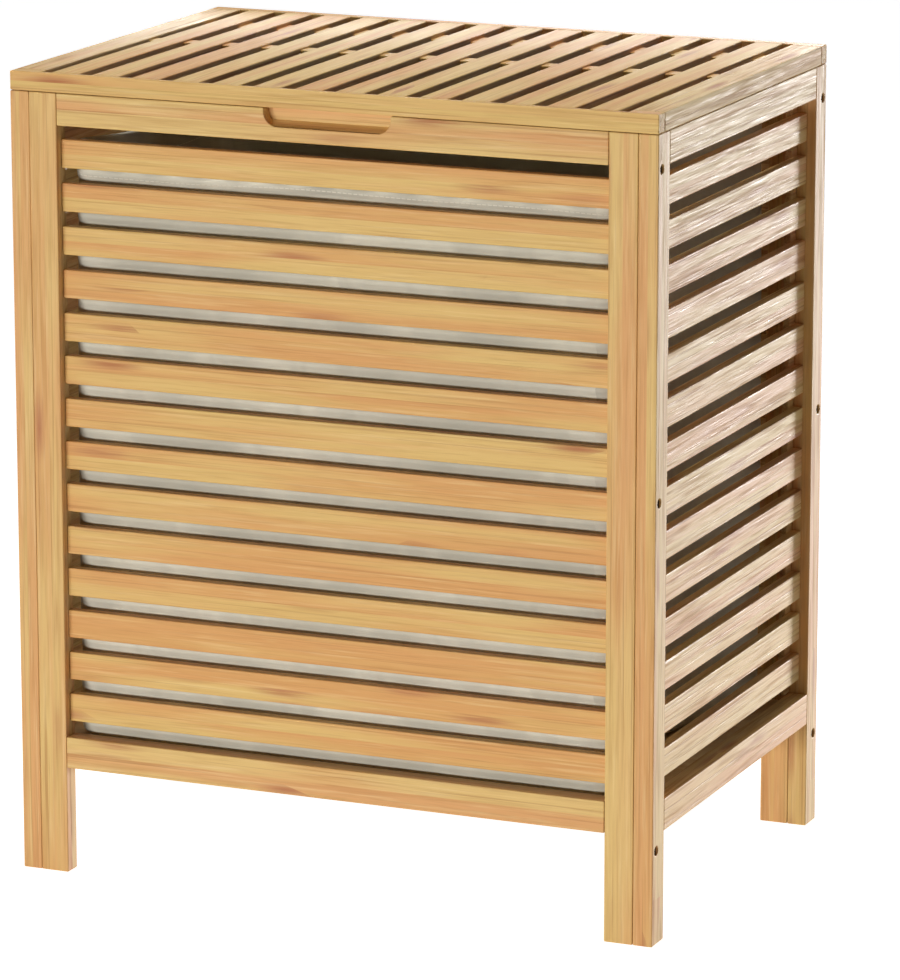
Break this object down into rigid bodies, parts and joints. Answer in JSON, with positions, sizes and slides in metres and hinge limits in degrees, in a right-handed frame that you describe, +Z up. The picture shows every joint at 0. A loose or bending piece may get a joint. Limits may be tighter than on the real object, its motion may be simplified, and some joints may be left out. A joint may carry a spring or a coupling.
{
  "type": "laundry hamper",
  "caption": "Upright slatted bamboo laundry hamper on square legs, with a hinged slatted lid, a finger recess in the front rail and a cloth bag inside.",
  "frame": {"origin": "on the floor under the middle of the closed hamper's bounding box", "axes": "+Z up, +X to the hamper's right seen from the front, -Y towards the front with the finger recess"},
  "size_m": [0.51, 0.36, 0.61],
  "materials": {
    "bamboo": "satin clear lacquer on golden laminated bamboo with lengthwise grain",
    "pale_bamboo": "satin clear lacquer on paler laminated bamboo with lengthwise grain",
    "lid_bamboo": "satin clear lacquer on cream laminated bamboo slats",
    "plywood": "thin bare plywood",
    "cloth": "light grey plain-woven cloth",
    "hinge_metal": "brass-plated steel",
    "bolt_steel": "bronze-toned bolt heads"
  },
  "bodies": {
    "frame": {"post_front_left": "bamboo", "front_stile_left": "bamboo", "post_back_left": "bamboo", "back_stile_left": "bamboo", "post_front_right": "bamboo", "front_stile_right": "bamboo", "post_back_right": "bamboo", "back_stile_right": "bamboo", "top_rail_front": "bamboo", "top_rail_back": "bamboo", "top_rail_left": "pale_bamboo", "top_rail_right": "pale_bamboo", "bottom_rail_front": "bamboo", "bottom_rail_back": "bamboo", "bottom_rail_left": "pale_bamboo", "bottom_rail_right": "pale_bamboo", "front_slat_01": "bamboo", "front_slat_02": "bamboo", "front_slat_03": "bamboo", "front_slat_04": "bamboo", "front_slat_05": "bamboo", "front_slat_06": "bamboo", "front_slat_07": "bamboo", "front_slat_08": "bamboo", "front_slat_09": "bamboo", "front_slat_10": "bamboo", "front_slat_11": "bamboo", "front_slat_12": "bamboo", "front_slat_13": "bamboo", "front_slat_14": "bamboo", "slat_panel_left": "pale_bamboo", "slat_panel_right": "pale_bamboo", "slat_panel_back": "bamboo", "bolt_front_left_bottom": "bolt_steel", "bolt_front_left_middle": "bolt_steel", "bolt_front_left_top": "bolt_steel", "bolt_back_left_bottom": "bolt_steel", "bolt_back_left_middle": "bolt_steel", "bolt_back_left_top": "bolt_steel", "bolt_front_right_bottom": "bolt_steel", "bolt_front_right_middle": "bolt_steel", "bolt_front_right_top": "bolt_steel", "bolt_back_right_bottom": "bolt_steel", "bolt_back_right_middle": "bolt_steel", "bolt_back_right_top": "bolt_steel", "ledger_front": "bamboo", "ledger_back": "bamboo", "bottom_board": "plywood", "laundry_bag": "cloth", "hinge_leaf_frame_left": "hinge_metal", "hinge_pin_left": "hinge_metal", "hinge_leaf_frame_right": "hinge_metal", "hinge_pin_right": "hinge_metal"},
    "lid": {"lid_rail_front": "bamboo", "lid_rail_back": "bamboo", "lid_rail_left": "pale_bamboo", "lid_rail_right": "pale_bamboo", "lid_slat_deck": "lid_bamboo", "hinge_leaf_lid_left": "hinge_metal", "hinge_leaf_lid_right": "hinge_metal"}
  },
  "joints": [
    {"name": "lid_hinge", "type": "hinge", "parent": "frame", "child": "lid", "pos_m": [0, 0.178, 0.5956], "axis": [-1, 0, 0], "range_deg": [0, 100]}
  ]
}
